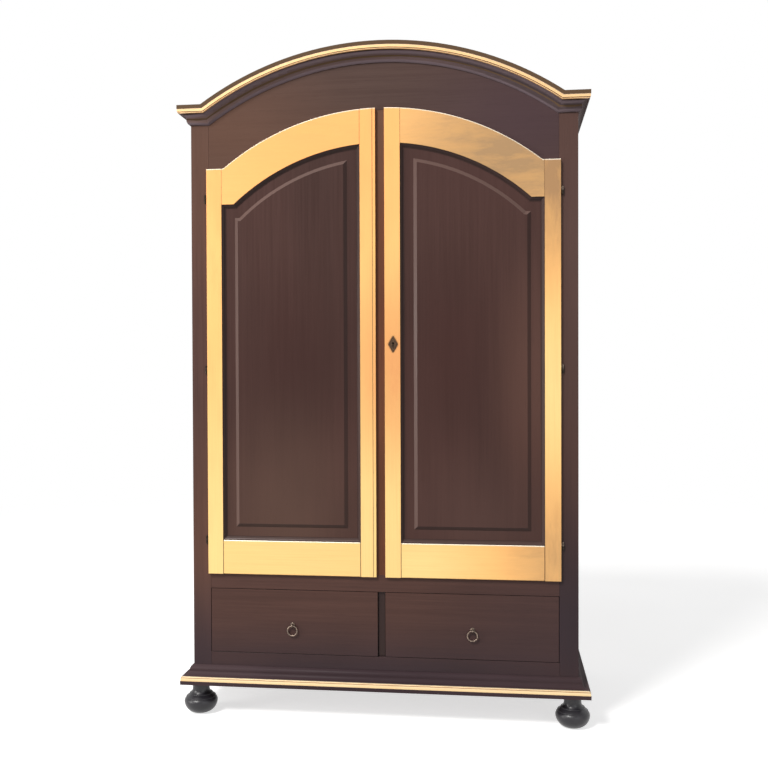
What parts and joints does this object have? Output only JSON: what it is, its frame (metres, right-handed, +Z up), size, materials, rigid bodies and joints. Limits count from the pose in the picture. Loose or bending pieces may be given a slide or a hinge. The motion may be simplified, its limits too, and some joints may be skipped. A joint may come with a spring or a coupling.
{
  "type": "wardrobe",
  "caption": "Wardrobe with an arched, gilt-edged cornice, raised panel doors, drawers with ring pulls below and turned bun feet",
  "frame": {"origin": "middle of the footprint on the floor", "axes": "+X to the right seen from the front, +Y to the back, +Z up; the doors face -Y"},
  "size_m": [1.2702, 0.6002, 2.0865],
  "materials": {
    "carcass_wood": "dark stained, satin",
    "inside_wood": "plain, matt",
    "frame_wood": "dark stained, satin",
    "frieze_wood": "dark stained, satin",
    "moulding_wood": "dark stained, satin",
    "panel_wood": "dark stained, satin",
    "gilt": "gilt over wood, soft sheen, worn",
    "foot_paint": "black paint, semi gloss",
    "dark_metal": "aged, dull",
    "lock_brass": "aged, satin",
    "pewter": "aged, dull"
  },
  "bodies": {
    "carcass": {"base_board": "carcass_wood", "side_left": "carcass_wood", "side_right": "carcass_wood", "roof_board": "carcass_wood", "back_panel": "inside_wood", "deck_board": "inside_wood", "centre_partition": "inside_wood", "drawer_partition": "frame_wood", "drawer_runners": "inside_wood", "shelf_lower": "inside_wood", "shelf_upper": "inside_wood", "hat_shelf": "inside_wood", "shelf_battens": "inside_wood", "stile_left": "frame_wood", "stile_right": "frame_wood", "mid_rail": "frame_wood", "bottom_rail": "frame_wood", "centre_post": "frame_wood", "frieze_board": "frieze_wood", "cornice_arch": "moulding_wood", "cornice_flats": "moulding_wood", "cornice_return_left": "moulding_wood", "cornice_return_right": "moulding_wood", "base_moulding_front": "moulding_wood", "base_moulding_left": "moulding_wood", "base_moulding_right": "moulding_wood", "cornice_gilt_strip": "gilt", "base_gilt_strip": "gilt", "foot_front_left": "foot_paint", "foot_front_right": "foot_paint", "foot_rear_left": "foot_paint", "foot_rear_right": "foot_paint", "case_hinge_leaves": "dark_metal", "hanging_rail": "lock_brass", "rail_sockets": "lock_brass"},
    "left_door": {"left_door_hinge_stile": "gilt", "left_door_closing_stile": "gilt", "left_door_top_rail": "gilt", "left_door_bottom_rail": "gilt", "left_door_panel": "panel_wood", "left_door_hinge_leaves": "dark_metal"},
    "right_door": {"right_door_hinge_stile": "gilt", "right_door_closing_stile": "gilt", "right_door_top_rail": "gilt", "right_door_bottom_rail": "gilt", "right_door_panel": "panel_wood", "right_door_hinge_leaves": "dark_metal", "lock_case": "dark_metal", "escutcheon": "pewter"},
    "bolt": {"lock_bolt": "lock_brass"},
    "left_drawer": {"left_drawer_front": "frame_wood", "left_drawer_box": "inside_wood", "left_drawer_bottom": "inside_wood", "left_pull_eye": "pewter"},
    "right_drawer": {"right_drawer_front": "frame_wood", "right_drawer_box": "inside_wood", "right_drawer_bottom": "inside_wood", "right_pull_eye": "pewter"},
    "left_ring": {"left_pull_ring": "pewter"},
    "right_ring": {"right_pull_ring": "pewter"}
  },
  "joints": [
    {"name": "left_door_hinge", "type": "hinge", "parent": "carcass", "child": "left_door", "pos_m": [-0.5535, -0.2688, 1.0875], "axis": [0, 0, -1], "range_deg": [0, 150]},
    {"name": "right_door_hinge", "type": "hinge", "parent": "carcass", "child": "right_door", "pos_m": [0.5535, -0.2688, 1.0875], "axis": [0, 0, 1], "range_deg": [0, 150]},
    {"name": "bolt_slide", "type": "slide", "parent": "right_door", "child": "bolt", "axis": [-1, 0, 0], "range_m": [0, 0.01]},
    {"name": "left_drawer_slide", "type": "slide", "parent": "carcass", "child": "left_drawer", "axis": [0, -1, 0], "range_m": [0, 0.4]},
    {"name": "right_drawer_slide", "type": "slide", "parent": "carcass", "child": "right_drawer", "axis": [0, -1, 0], "range_m": [0, 0.4]},
    {"name": "left_ring_hinge", "type": "hinge", "parent": "left_drawer", "child": "left_ring", "pos_m": [-0.28055, -0.272, 0.286], "axis": [-1, 0, 0], "range_deg": [0, 85]},
    {"name": "right_ring_hinge", "type": "hinge", "parent": "right_drawer", "child": "right_ring", "pos_m": [0.28055, -0.272, 0.286], "axis": [-1, 0, 0], "range_deg": [0, 85]}
  ]
}
